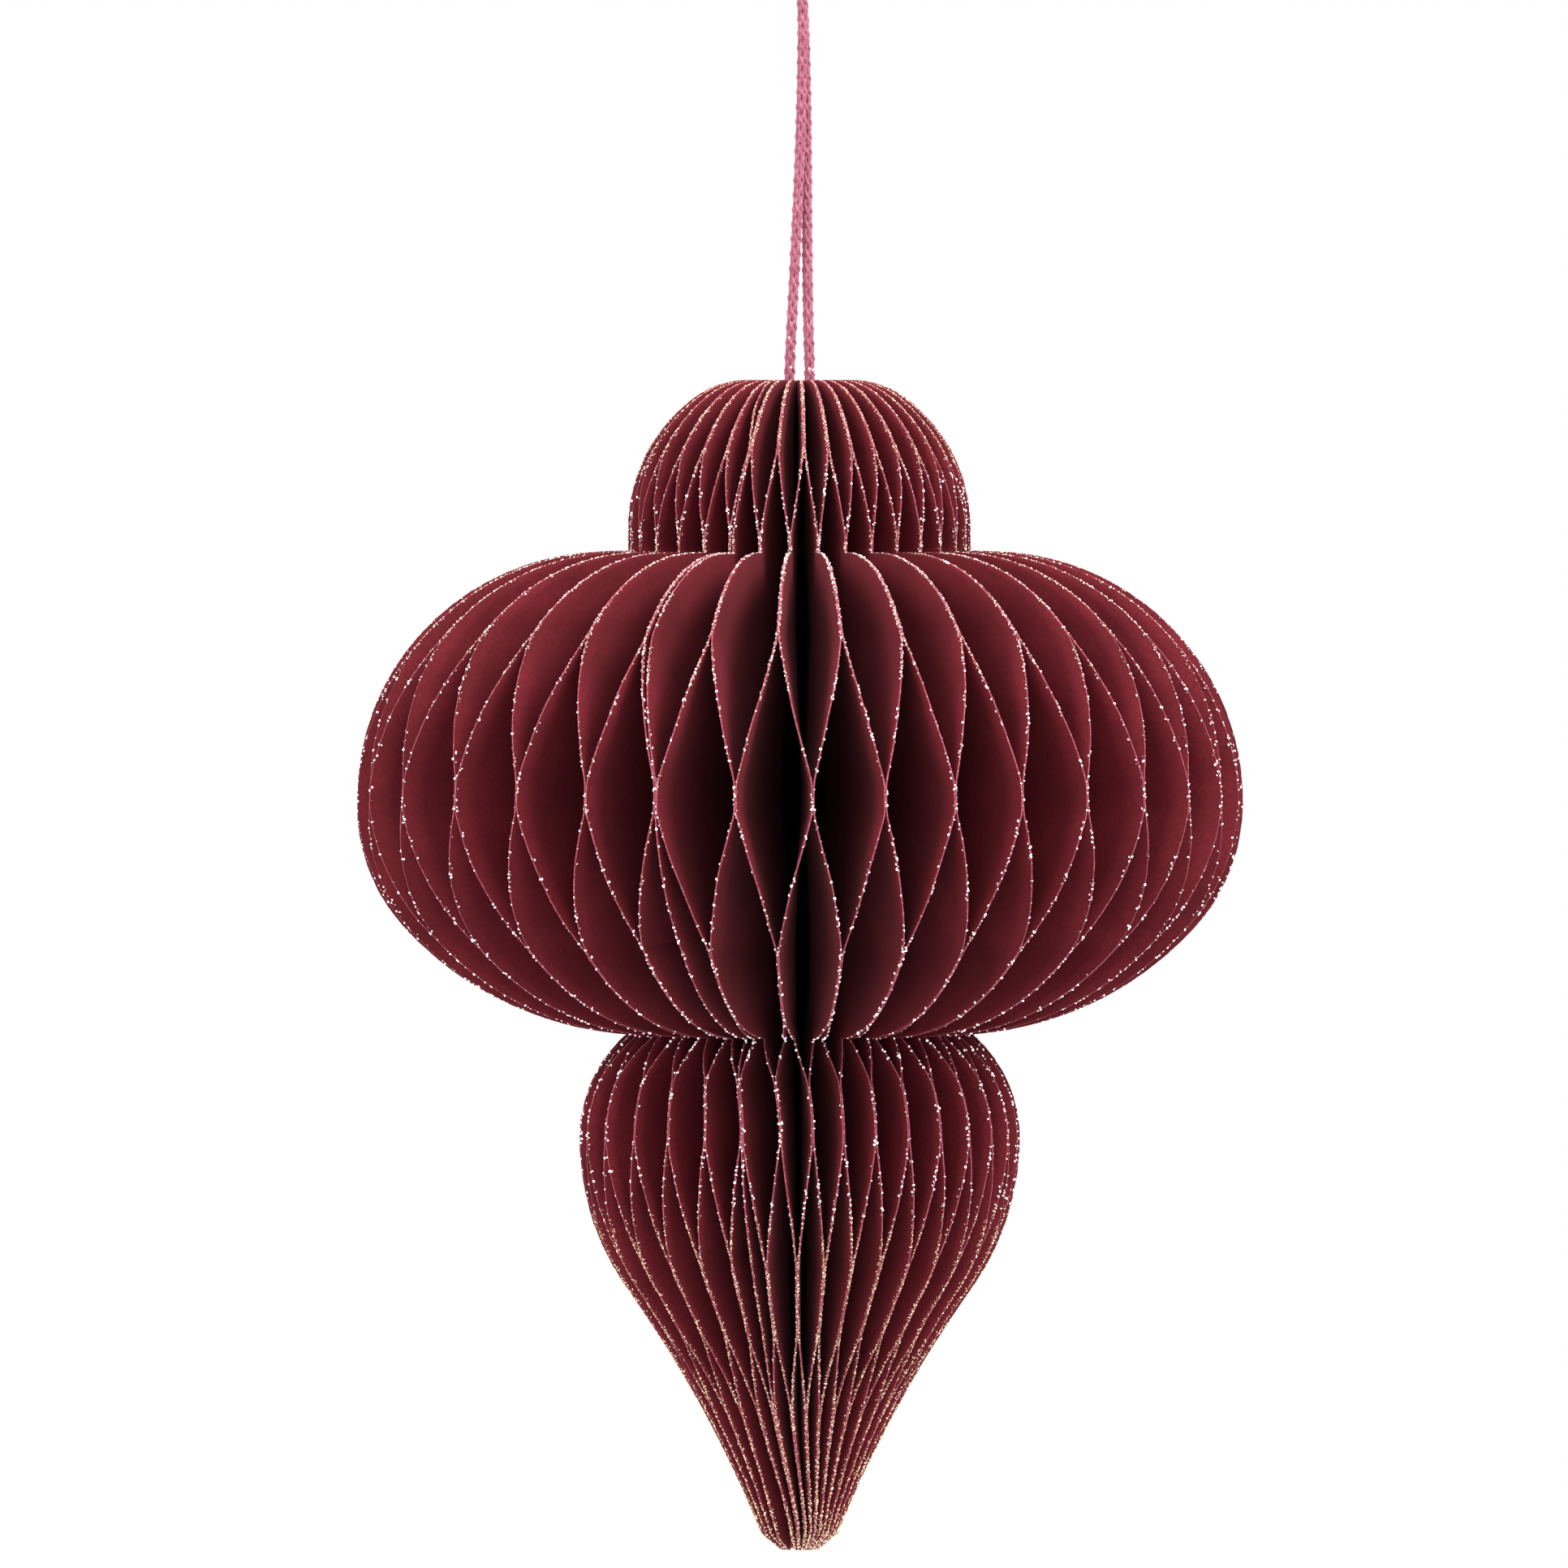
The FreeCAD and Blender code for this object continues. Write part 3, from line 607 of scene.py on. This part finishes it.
class EndLeaf(Leaf):
    """The left cover's second leaf, which stands off the first by the thickness of the magnets."""
    STAND_OFF = 1.0
    PINCHED = 0.47
    # kept clear beside the next pair's plane: one leaf of that pair, half of this one and a little air
    CLEAR = 0.49
    # height, and the distances from the axis between which the two leaves close up
    CLOSE_UP = [(TOP, 14, 20), (UPPER_NECK, 16, 21), (BODY_MIDDLE, 26, 46), (LOWER_NECK, 16, 21),
                (DROP_MIDDLE, 16, 25), (DROP_MIDDLE - 22, 9, 16), (TAPER_END + 16, 6, 8), (BOTTOM, 0, 1)]

    def offset(self, radius, height, edge):
        near, far = between_marks(self.CLOSE_UP, height)
        closed = eased((radius - near) / (far - near))
        pinched = self.PINCHED * thickness_left(height, edge)
        flat = self.STAND_OFF + (pinched - self.STAND_OFF) * closed
        room = radius * math.sin(math.radians(PAIR_ANGLE)) - self.CLEAR
        return -min(flat, max(room, pinched))


class FreeLeaf(Leaf):
    """The left cover's outer leaf, which is glued only round the magnets and stands free elsewhere."""
    # height and the share of half a cell by which it stands off the seam, minus towards the left
    STAND = [(TOP, 0.0), (TOP - 9.0, 0.0), (TOP - 19.9, -0.78), (TOP - 32.4, -0.80), (TOP - 50.8, 0.0),
             (TOP - 54.6, 0.0), (TOP - 72.3, 0.20), (TOP - 82.3, 0.20), (TOP - 89.5, 0.0),
             (TOP - 97.6, 0.0), (TOP - 113.2, 0.15), (TOP - 122.8, 0.12), (TOP - 132.6, 0.0), (BOTTOM, 0.0)]

    def offset(self, radius, height, edge):
        return self.rest_offset * thickness_left(height, edge)

    def angle(self, height):
        share = between_marks(self.STAND, height)[0]
        return pair_angle(self.number, height) + share * PAIR_ANGLE / 2


LEAVES = []
for number in range(1, PAIRS):
    LEAVES.append((Leaf(f"leaf_{number:02d}_right", number, 1), f"leaf_pair_{number:02d}"))
    LEAVES.append((Leaf(f"leaf_{number:02d}_left", number, -1), f"leaf_pair_{number:02d}"))
LEAVES.append((Leaf("right_cover_leaf", PAIRS, 1), "cover_right"))
LEAVES.append((FreeLeaf("left_cover_leaf", 0, -1), "cover_left"))
LEAVES.append((EndLeaf("left_end_leaf", 0, -1, inner=5.6, rest_offset=-1.0), "cover_left_end_leaf"))

# ---------------------------------------------------------------- sheets of the leaves
# how far out each column of a sheet lies, and how far the die has pressed it
COLUMNS = ((0.0, 0.0), (0.30, 0.0), (0.58, 0.0), (0.80, 0.0), (0.94, 0.2), (1.0, 1.0))
EDGE_ROUGHNESS = 0.035
LEAST_WIDTH = 0.1


def mesh_object(name, vertices, faces, materials):
    """A mesh object from vertices in millimetres."""
    data = bpy.data.meshes.new(name)
    data.from_pydata([v * MM for v in vertices], [], faces)
    for material in materials:
        data.materials.append(material)
    data.update()
    made = bpy.data.objects.new(name, data)
    bpy.context.collection.objects.link(made)
    return made


def smooth(made):
    for polygon in made.data.polygons:
        polygon.use_smooth = True


def grid_faces(rows, width):
    """Quads of a grid whose vertices are listed row by row."""
    faces = []
    for row in range(rows - 1):
        for column in range(width - 1):
            a = row * width + column
            faces.append((a, a + width, a + width + 1, a + 1))
    return faces


def leaf_rows(leaf):
    """The leaf's outer edge, with the small unevenness of a die that has cut a thick stack."""
    draw = random.Random(leaf.name)
    rows = []
    for radius, height in OUTLINE:
        if radius > leaf.inner_at(height) + LEAST_WIDTH:
            rows.append((radius + draw.uniform(-EDGE_ROUGHNESS, EDGE_ROUGHNESS), height))
    return rows


def leaf_sheet(leaf):
    """The leaf's mid-surface, from the spine to the cut edge; thicken gives it the card's thickness."""
    rows = leaf_rows(leaf)
    vertices = []
    for radius, height in rows:
        inner = leaf.inner_at(height)
        for share, edge in COLUMNS:
            vertices.append(leaf.point(inner + (radius - inner) * share, height, edge=edge))
    width = len(COLUMNS)
    made = mesh_object(leaf.name, vertices, grid_faces(len(rows), width), [CARD, EDGE])
    smooth(made)
    thickness = made.vertex_groups.new(name="thickness")
    for row, (_, height) in enumerate(rows):
        for column, (_, edge) in enumerate(COLUMNS):
            thickness.add([row * width + column], thickness_left(height, edge), "REPLACE")
    return made


def thicken(made):
    """Solidify is left live, so that the card keeps its thickness when the leaf is pressed flat."""
    solid = made.modifiers.new("card_thickness", "SOLIDIFY")
    solid.thickness = CARD_THICKNESS * MM
    solid.offset = 0.0
    solid.use_even_offset = False
    solid.material_offset_rim = 1
    solid.use_rim = True
    solid.vertex_group = "thickness"


# ---------------------------------------------------------------- where the glitter lies, and of which sort
# Heights between which the glitter is fine and champagne coloured, and how much so. It is coarse and silver
# elsewhere.
WARM_BANDS = [(TOP, TOP - 9.0, 0.8), (UPPER_NECK + 1.5, UPPER_NECK - 14.0, 0.4),
              (DROP_MIDDLE - 12.0, BOTTOM, 1.0)]
WARM_EASE = 5.0
# grains to the square millimetre of edge where they are coarse, and how many more there are elsewhere
COARSE_GRAINS = 1.4
MORE_WHERE_FINE = 6.5
MORE_AT_NECK = 2.6
MORE_AT_TIP = 4.0
# height of each crust above the neck or the taper's end, and the length over which it fades
NECK_CRUST = (1.5, 3.5)
TIP_CRUST = (1.5, 2.5)
# the sprayed glue reaches this far on to the faces, where few grains stick
GLUE_REACH = 0.30
FACE_STAND_OFF = 0.03
EDGE_STAND_OFF = 0.05
FACE_SHARE = 0.12
EDGE_SHARE = 1.9
CLUMP_WAVES = 4
CLUMP_RATE = (0.15, 1.1)
LEAST_CLUMP = 0.25


def warmth(height):
    """From 0 where the glitter is coarse and silver to 1 where it is fine and champagne coloured."""
    shares = []
    for high, low, share in WARM_BANDS:
        fade_in = eased((high + WARM_EASE - height) / WARM_EASE)
        fade_out = eased((height - low + WARM_EASE) / WARM_EASE)
        shares.append(share * fade_in * fade_out)
    return max(shares)


def edge_density(height):
    """Grains to the square millimetre of edge: close where they are fine, crusts at the neck and tip."""
    rise, fade = NECK_CRUST
    neck = 1.0 - eased(abs(height - UPPER_NECK - rise) / fade)
    rise, fade = TIP_CRUST
    tip = eased((TAPER_END + rise - height) / fade)
    return COARSE_GRAINS + MORE_WHERE_FINE * warmth(height) + MORE_AT_NECK * neck + MORE_AT_TIP * tip


def edge_strip(leaf):
    """A strip wrapped over the cut edge and a little way on to both faces, where the glitter sticks."""
    rows = leaf_rows(leaf)
    half = CARD_THICKNESS * EDGE_PRESSED / 2
    across = [(-GLUE_REACH, -half - FACE_STAND_OFF), (0.0, -half), (EDGE_STAND_OFF, 0.0), (0.0, half),
              (-GLUE_REACH, half + FACE_STAND_OFF)]
    draw = random.Random(leaf.name + "_clumps")
    waves = [(draw.uniform(*CLUMP_RATE), draw.uniform(0, ANY_PHASE)) for _ in range(CLUMP_WAVES)]
    vertices = []
    density = []
    warm = []
    for radius, height in rows:
        clump = max(LEAST_CLUMP, 1.0 + sum(math.sin(f * height + p) for f, p in waves) / 3)
        inner = leaf.inner_at(height)
        for outward, aside in across:
            vertices.append(leaf.point(max(radius + outward, inner), height, aside, edge=1.0))
            share = FACE_SHARE if outward < 0 else EDGE_SHARE
            density.append(clump * edge_density(height) * share * PER_MM2)
            warm.append(warmth(height))
    strip = mesh_object(f"{leaf.name}_strip", vertices, grid_faces(len(rows), len(across)), [])
    for name, values in (("grain_density", density), ("warmth", warm)):
        strip.data.attributes.new(name, "FLOAT", "POINT").data.foreach_set("value", values)
    return strip


# ---------------------------------------------------------------- glitter grains
GRAIN_SIZE = (0.20, 0.42)
# how much smaller the finest grains are
FINER = 0.42
GRAIN_RIM = ((0.5, 0, 0), (0.12, 0.46, 0), (-0.47, 0.2, 0), (-0.3, -0.4, 0), (0.25, -0.42, 0))
GRAIN_PEAKS = ((0.03, 0.02, 0.3), (-0.02, 0.0, -0.3))
FIRST_SEED = 40


def flake_template():
    """One glitter grain: a faceted lozenge 1 mm across, scaled down where it is used."""
    vertices = [Vector(p) for p in GRAIN_RIM + GRAIN_PEAKS]
    corners = len(GRAIN_RIM)
    faces = []
    for i in range(corners):
        after = (i + 1) % corners
        faces.append((i, after, corners))
        faces.append((after, i, corners + 1))
    made = mesh_object("glitter_grain", vertices, faces, [GRAINS])
    made.hide_render = True
    return made


def scatter_tree():
    """Geometry Nodes: grains at random places on an edge strip, as dense as its own attribute asks."""
    tree = bpy.data.node_groups.new("edge_glitter", "GeometryNodeTree")
    for kind, label in (("NodeSocketGeometry", "Strip"), ("NodeSocketInt", "Seed"),
                        ("NodeSocketFloat", "Smallest"), ("NodeSocketFloat", "Largest"),
                        ("NodeSocketObject", "Grain"), ("NodeSocketMaterial", "Finish")):
        tree.interface.new_socket(label, in_out="INPUT", socket_type=kind)
    tree.interface.new_socket("Grains", in_out="OUTPUT", socket_type="NodeSocketGeometry")
    into = put(tree, "NodeGroupInput")
    out = put(tree, "NodeGroupOutput")
    dense = put(tree, "GeometryNodeInputNamedAttribute", data_type="FLOAT",
                inputs={"Name": "grain_density"})
    spots = put(tree, "GeometryNodeDistributePointsOnFaces",
                [(into.outputs["Strip"], "Mesh"), (dense.outputs["Attribute"], "Density"),
                 (into.outputs["Seed"], "Seed")], distribute_method="RANDOM")
    turn = put(tree, "FunctionNodeRandomValue", [(into.outputs["Seed"], "Seed")], data_type="FLOAT_VECTOR",
               inputs={0: (-3.14, -3.14, -3.14), 1: (3.14, 3.14, 3.14)})
    # one draw gives a grain's size and its tone, from large, pale and with a bright painted glint to small,
    # dusky and without glint
    spread = put(tree, "FunctionNodeRandomValue",
                 [(into.outputs["Largest"], 2), (into.outputs["Smallest"], 3),
                  (into.outputs["Seed"], "Seed")], data_type="FLOAT")
    warm = put(tree, "GeometryNodeInputNamedAttribute", data_type="FLOAT", inputs={"Name": "warmth"})
    fineness = put(tree, "ShaderNodeMath", [(warm.outputs["Attribute"], 0)], operation="MULTIPLY_ADD",
                   inputs={1: -FINER, 2: 1.0})
    scale = put(tree, "ShaderNodeMath", [(spread.outputs[1], 0), (fineness.outputs[0], 1)],
                operation="MULTIPLY")
    shape = put(tree, "GeometryNodeObjectInfo", [(into.outputs["Grain"], "Object")])
    placed = put(tree, "GeometryNodeInstanceOnPoints",
                 [(spots.outputs["Points"], "Points"), (shape.outputs["Geometry"], "Instance"),
                  (turn.outputs[0], "Rotation"), (scale.outputs[0], "Scale")])
    chance = put(tree, "FunctionNodeRandomValue", [(into.outputs["Seed"], "Seed")], data_type="FLOAT")
    tone = put(tree, "ShaderNodeMath", [(warm.outputs["Attribute"], 0), (chance.outputs[1], 2)],
               operation="MULTIPLY_ADD", inputs={1: 1.0})
    tinted = put(tree, "GeometryNodeStoreNamedAttribute",
                 [(placed.outputs["Instances"], "Geometry"), (tone.outputs[0], "Value")],
                 data_type="FLOAT", domain="INSTANCE", inputs={"Name": "tone"})
    real = put(tree, "GeometryNodeRealizeInstances", [(tinted.outputs["Geometry"], "Geometry")])
    finished = put(tree, "GeometryNodeSetMaterial",
                   [(real.outputs["Geometry"], "Geometry"), (into.outputs["Finish"], "Material")])
    tree.links.new(finished.outputs["Geometry"], out.inputs["Grains"])
    return tree


def baked(source, tree, inputs):
    """Run a Geometry Nodes tree on an object and return the outcome as a plain mesh."""
    modifier = source.modifiers.new("scatter", "NODES")
    modifier.node_group = tree
    sockets = {item.name: item.identifier for item in tree.interface.items_tree if item.in_out == "INPUT"}
    for label, value in inputs.items():
        modifier[sockets[label]] = value
    seen = source.evaluated_get(bpy.context.evaluated_depsgraph_get())
    mesh = bpy.data.meshes.new_from_object(seen)
    source.modifiers.remove(modifier)
    bpy.data.objects.remove(source)
    return mesh


def flatten(made):
    """Gives the piece a mesh of its own."""
    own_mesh(made)


GRAIN = flake_template()
SCATTER = scatter_tree()
for index, (leaf, node) in enumerate(LEAVES):
    sheet = leaf_sheet(leaf)
    mesh = baked(edge_strip(leaf), SCATTER, {"Seed": FIRST_SEED + index, "Smallest": GRAIN_SIZE[0],
                                             "Largest": GRAIN_SIZE[1], "Grain": GRAIN, "Finish": GRAINS})
    grains = bpy.data.objects.new(f"{leaf.name}_glitter", mesh)
    bpy.context.collection.objects.link(grains)
    for piece in (sheet, grains):
        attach(piece, body_name(leaf.number))
        flatten(piece)
    thicken(sheet)
    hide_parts(node)
bpy.data.objects.remove(GRAIN)

# ---------------------------------------------------------------- cord
STRANDS_EACH_WAY = 4
STRAND_RADIUS = 0.24
BRAID_RADIUS = 0.41
# how far a strand rises over the ones it crosses and dips under them
WEAVE = 0.10
BRAID_PITCH = 7.6
RING = 8


def frames_along(line):
    """A tangent and two sideways directions at each point, carried along without twisting."""
    result = []
    side = None
    for i, point in enumerate(line):
        before = line[max(i - 1, 0)]
        after = line[min(i + 1, len(line) - 1)]
        tangent = (after - before).normalized()
        if side is None:
            side = tangent.orthogonal().normalized()
        side = (side - tangent * side.dot(tangent)).normalized()
        result.append((tangent, side, tangent.cross(side)))
    return result


def braided_cord(line):
    """Strands wound both ways round the cord's line, over and under in turn, with a UV along each."""
    frames = frames_along(line)
    step = (line[1] - line[0]).length / MM
    lay_angle = math.atan2(2 * math.pi * BRAID_RADIUS, BRAID_PITCH)
    vertices = []
    faces = []
    uvs = []
    for strand in range(2 * STRANDS_EACH_WAY):
        way = 1 if strand < STRANDS_EACH_WAY else -1
        base = len(vertices)
        for i, (point, (tangent, side, up)) in enumerate(zip(line, frames)):
            wound = 2 * math.pi * i * step / BRAID_PITCH
            turn = way * wound + 2 * math.pi * (strand % STRANDS_EACH_WAY) / STRANDS_EACH_WAY
            outward = side * math.cos(turn) + up * math.sin(turn)
            around = (up * math.cos(turn) - side * math.sin(turn)) * way
            across = around * math.cos(lay_angle) - tangent * math.sin(lay_angle)
            orbit = BRAID_RADIUS + way * WEAVE * math.cos(STRANDS_EACH_WAY * wound)
            centre = point / MM + outward * orbit
            for j in range(RING):
                a = 2 * math.pi * j / RING * way
                rim = outward * math.cos(a) + across * way * math.sin(a)
                vertices.append(centre + rim * STRAND_RADIUS)
        for i in range(len(line) - 1):
            u0, u1 = i * step * MM, (i + 1) * step * MM
            for j in range(RING):
                a, b = base + i * RING + j, base + i * RING + (j + 1) % RING
                faces.append((a, b, b + RING, a + RING))
                uvs.append(((u0, j / RING), (u0, (j + 1) / RING), (u1, (j + 1) / RING), (u1, j / RING)))
        last = base + (len(line) - 1) * RING
        faces.append(tuple(base + j for j in reversed(range(RING))))
        faces.append(tuple(last + j for j in range(RING)))
        uvs += [((0.0, 0.0),) * RING] * 2
    made = mesh_object("braided_cord", vertices, faces, [COTTON])
    layer = made.data.uv_layers.new(name="strand")
    layer.data.foreach_set("uv", [value for face in uvs for corner in face for value in corner])
    smooth(made)
    return made


cord = braided_cord(CORD_LINE)
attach(cord, "pair_18")
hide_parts("hanging_cord")

# ---------------------------------------------------------------- stray glitter at the cord's foot
STRAY_GRAINS = 6
# share of the way up from the card, direction round the strand in radians, half width, and slant
STRAY_RISE = (0.05, 0.9)
STRAY_SIDE = (-2.6, -0.5)
STRAY_SIZE = (0.12, 0.20)
STRAY_TILT = 0.6
# distances of a grain's corners, front and back from the middle of the strand
STRAY_SEAT = 0.72
STRAY_FRONT = 0.80
STRAY_BACK = 0.60


def stray_grains():
    """A few loose grains caught in the cotton near the card."""
    draw = random.Random(77)
    strands = ((CORD_ROUTE[1], CORD_ROUTE[2]), (CORD_ROUTE[-2], CORD_ROUTE[-3]))
    vertices = []
    faces = []
    for number in range(STRAY_GRAINS):
        foot, above = strands[number % 2]
        place = Vector(foot).lerp(Vector(above), draw.uniform(*STRAY_RISE))
        around = draw.uniform(*STRAY_SIDE)
        out = Vector((math.cos(around), math.sin(around), 0.0))
        along = Vector((-out.y, out.x, 0.0))
        size = draw.uniform(*STRAY_SIZE)
        slant = draw.uniform(-STRAY_TILT, STRAY_TILT)
        first = len(vertices)
        for x, z in ((1, slant), (-slant, 1), (-1, -slant), (slant, -1)):
            vertices.append(place + out * STRAY_SEAT + (along * x + Vector((0, 0, z))) * size)
        vertices.append(place + out * STRAY_FRONT)
        vertices.append(place + out * STRAY_BACK)
        for j in range(4):
            after = first + (j + 1) % 4
            faces += [(first + j, after, first + 4), (after, first + j, first + 5)]
    made = mesh_object("stray_glitter", vertices, faces, [GRAINS])
    # tone is left at 0: white grains with the brightest painted glint
    made.data.attributes.new("tone", "FLOAT", "POINT")
    return made


stray = stray_grains()
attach(stray, "pair_18")

# ---------------------------------------------------------------- knot, glue plug and magnets
for node, finish in (("cord_knot", KNOT), ("spine_glue_plug", GLUE), ("closing_magnets_left", NICKEL),
                     ("closing_magnets_right", NICKEL)):
    shown = bpy.data.objects[node].data.materials
    shown.clear()
    shown.append(finish)

# ---------------------------------------------------------------- floor and light
FLOOR_HEIGHT = -420.0
FLOOR_REACH = 1500.0
LANTERN_MIDDLE = (0.0, 0.0, -120.0)
LIGHT_WIDTH = 650.0


def pale_paper():
    """Matt off-white paper, which gives a soft light back from below."""
    return new_material("pale_floor_paper", {
        "Base Color": linear("#cccccc"), "Roughness": 1.0, "Specular IOR Level": 0.0})[0]


def soft_light(name, place, power):
    """A square soft box turned to the middle of the lantern; power is in watts."""
    data = bpy.data.lights.new(name, "AREA")
    data.shape = "SQUARE"
    data.size = LIGHT_WIDTH * MM
    data.energy = power
    made = bpy.data.objects.new(name, data)
    bpy.context.collection.objects.link(made)
    made.location = metres(place)
    made.rotation_euler = (metres(LANTERN_MIDDLE) - metres(place)).to_track_quat("-Z", "Y").to_euler()


floor_corners = [Vector((x * FLOOR_REACH, y * FLOOR_REACH, FLOOR_HEIGHT))
                 for x, y in ((-1, -1), (1, -1), (1, 1), (-1, 1))]
mesh_object("floor", floor_corners, [(0, 1, 2, 3)], [pale_paper()])
soft_light("soft_left", (-820.0, -480.0, 550.0), 6.0)
soft_light("key_upper_right", (880.0, -500.0, 850.0), 14.0)

world = bpy.data.worlds.new("white_surroundings")
world.use_nodes = True
surroundings = world.node_tree.nodes["Background"].inputs
surroundings["Color"].default_value = (1.0, 1.0, 1.0, 1.0)
surroundings["Strength"].default_value = 1.0
bpy.context.scene.world = world
bpy.context.scene.view_settings.view_transform = "Standard"
